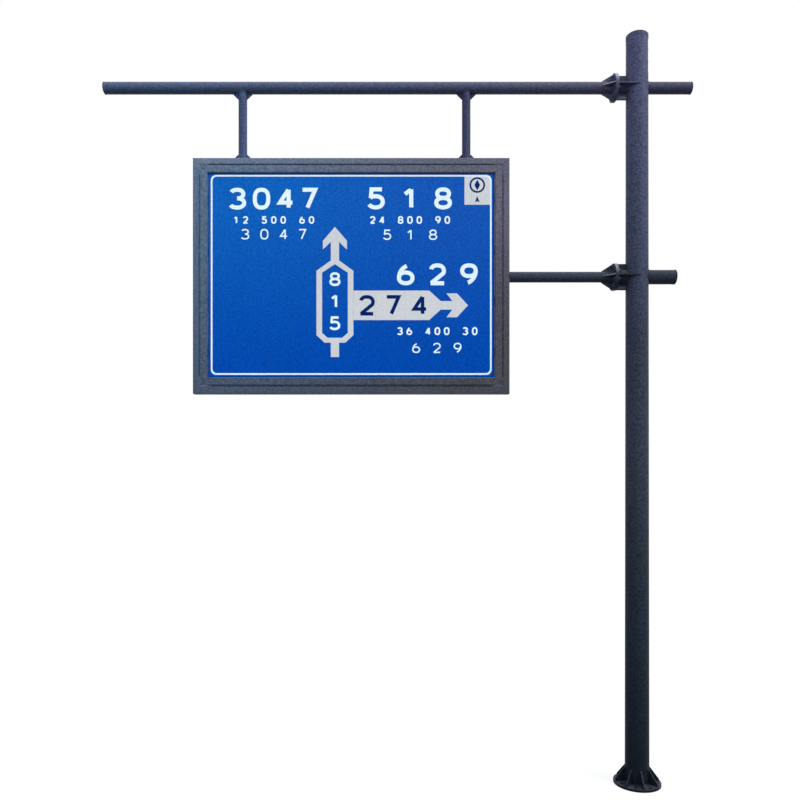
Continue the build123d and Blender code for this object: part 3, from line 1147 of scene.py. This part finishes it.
# Rows of numbers: place from the panel's middle, height of a figure, and pitch from one to the next
numberRows = [
    {"name": "leftMain", "text": "3047", "x": -0.775, "z": 0.765, "height": 0.218, "pitch": 0.238},
    {"name": "leftSmall", "text": "12 500 60", "x": -0.772, "z": 0.553, "height": 0.076, "pitch": 0.094},
    {"name": "leftLower", "text": "3047", "x": -0.771, "z": 0.411, "height": 0.106, "pitch": 0.190},
    {"name": "aheadMain", "text": "518", "x": 0.581, "z": 0.768, "height": 0.220, "pitch": 0.333},
    {"name": "aheadSmall", "text": "24 800 90", "x": 0.584, "z": 0.553, "height": 0.078, "pitch": 0.093},
    {"name": "aheadLower", "text": "518", "x": 0.586, "z": 0.406, "height": 0.104, "pitch": 0.228},
    {"name": "rightMain", "text": "629", "x": 0.857, "z": 0.012, "height": 0.218, "pitch": 0.315},
    {"name": "rightSmall", "text": "36 400 30", "x": 0.857, "z": -0.554, "height": 0.080, "pitch": 0.093},
    {"name": "rightLower", "text": "629", "x": 0.852, "z": -0.721, "height": 0.102, "pitch": 0.206},
    {"name": "loopNumbers", "text": "815", "x": -0.163, "z": -0.256, "height": 0.138, "pitch": 0.2195,
     "stacked": True},
    {"name": "bandNumbers", "text": "274", "x": 0.417, "z": -0.297, "height": 0.204, "pitch": 0.262,
     "finish": filmBlue},
]
numberStyle = {
    "Main": {"wide": 0.80, "line": 0.185},
    "Small": {"wide": 0.72, "line": 0.20},
    "Lower": {"wide": 0.78, "line": 0.135},
    "Numbers": {"wide": 0.80, "line": 0.175},
}


def layNumbers(row):
    style = next(s for ending, s in numberStyle.items() if row["name"].endswith(ending))
    height = row["height"]
    line = height * style["line"]
    spanX, spanZ = height * style["wide"] - line, height - line
    bands = []
    for i, figure in enumerate(row["text"]):
        if figure == " ":
            continue
        shift = (i - (len(row["text"]) - 1) / 2) * row["pitch"]
        moveX, moveZ = (0, -shift) if row.get("stacked") else (shift, 0)
        for stroke in figures[figure]:
            bands += strokeOutline([((x - 0.5) * spanX + moveX, (z - 0.5) * spanZ + moveZ)
                                    for x, z in stroke], line)
    piece = cutFilm(row["name"], bands, row.get("finish", filmWhite), (row["x"], row["z"]))
    if "finish" in row:
        layOver(piece)


for numberRow in numberRows:
    layNumbers(numberRow)
print("numbers laid")

# Camera: level, in front of the sign, its picture shifted up to take in the mast's top
view = {
    "sideways": -2.37,
    "distance": 7.20,
    "height": 3.03,
    "lens": 32.4,
    "shiftUp": 0.10,
}
camera = addObject("camera", bpy.data.cameras.new("camera"))
camera.location = (view["sideways"], -view["distance"], view["height"])
camera.rotation_euler = (math.radians(90), 0, 0)
camera.data.lens = view["lens"]
camera.data.shift_y = view["shiftUp"]
bpy.context.scene.camera = camera

# Daylight: a broad soft sun from the right in front, a weak fill from the left, a low light
# from behind, and a sky brighter above than below
daylight = {
    "sun": {"strength": 3.0, "colour": (1.0, 0.97, 0.93), "spread": 36, "azimuth": 58, "elevation": 38},
    "fill": {"strength": 1.2, "colour": (0.95, 0.98, 1.0), "spread": 80, "azimuth": -42, "elevation": 4},
    "back": {"strength": 1.7, "colour": (1.0, 0.97, 0.92), "spread": 70, "azimuth": 160, "elevation": 12},
    "skyTop": (0.80, 0.86, 0.96, 1.0),
    "skyLow": (0.19, 0.22, 0.33, 1.0),
    "floorShade": (0.09, 0.10, 0.12, 1.0),
    "floorWhite": (0.17, 0.17, 0.17, 1.0),
    "skyEdges": (-0.35, 0.55),
    "floorGlow": 0.79,
    "floorReach": 60.0,
}
for name in ("sun", "fill", "back"):
    lamp = daylight[name]
    made = addObject(name, bpy.data.lights.new(name, "SUN"))
    made.data.energy = lamp["strength"]
    made.data.color = lamp["colour"]
    made.data.angle = math.radians(lamp["spread"])
    azimuth, elevation = math.radians(lamp["azimuth"]), math.radians(lamp["elevation"])
    toLamp = Vector((math.sin(azimuth) * math.cos(elevation), -math.cos(azimuth) * math.cos(elevation),
                     math.sin(elevation)))
    made.rotation_euler = toLamp.to_track_quat("Z", "Y").to_euler()

world = bpy.data.worlds.new("sky")
bpy.context.scene.world = world
sky = Shading(world)
upness = sky.along(sky.node("TexCoord", {}, {}, "Generated"), (0, 0, 1))
skyColour = sky.blend(sky.fade(upness, *daylight["skyEdges"]), daylight["skyLow"], daylight["skyTop"])
sky.finish(sky.node("MixShader", {}, {
    0: sky.seenDirectly(),
    1: sky.node("Background", {}, {"Color": skyColour}),
    2: sky.node("Background", {}, {"Color": (1, 1, 1, 1)}),
}), "World")

floorMaterial, ground = newMaterial("paleFloor")
seenFloor = ground.node("AddShader", {}, {
    0: ground.node("BsdfDiffuse", {}, {"Color": daylight["floorWhite"]}),
    1: ground.node("Emission", {}, {"Strength": daylight["floorGlow"]}),
})
fromAbove = ground.node("MixShader", {}, {
    0: ground.seenDirectly(),
    1: ground.node("BsdfDiffuse", {}, {"Color": daylight["floorShade"]}),
    2: seenFloor,
})
ground.finish(ground.node("MixShader", {}, {  # the floor doesn't show from beneath
    0: ground.node("NewGeometry", {}, {}, "Backfacing"),
    1: fromAbove,
    2: ground.node("BsdfTransparent", {}, {}),
}))
floorMesh = bpy.data.meshes.new("floor")
reach = daylight["floorReach"]
floorMesh.from_pydata([(-reach, -reach, 0), (reach, -reach, 0), (reach, reach, 0),
                       (-reach, reach, 0)], [], [(0, 1, 2, 3)])
floorMesh.materials.append(floorMaterial)
floor = addObject("floor", floorMesh)
bpy.context.scene.view_settings.view_transform = "Standard"
print("camera and daylight set")
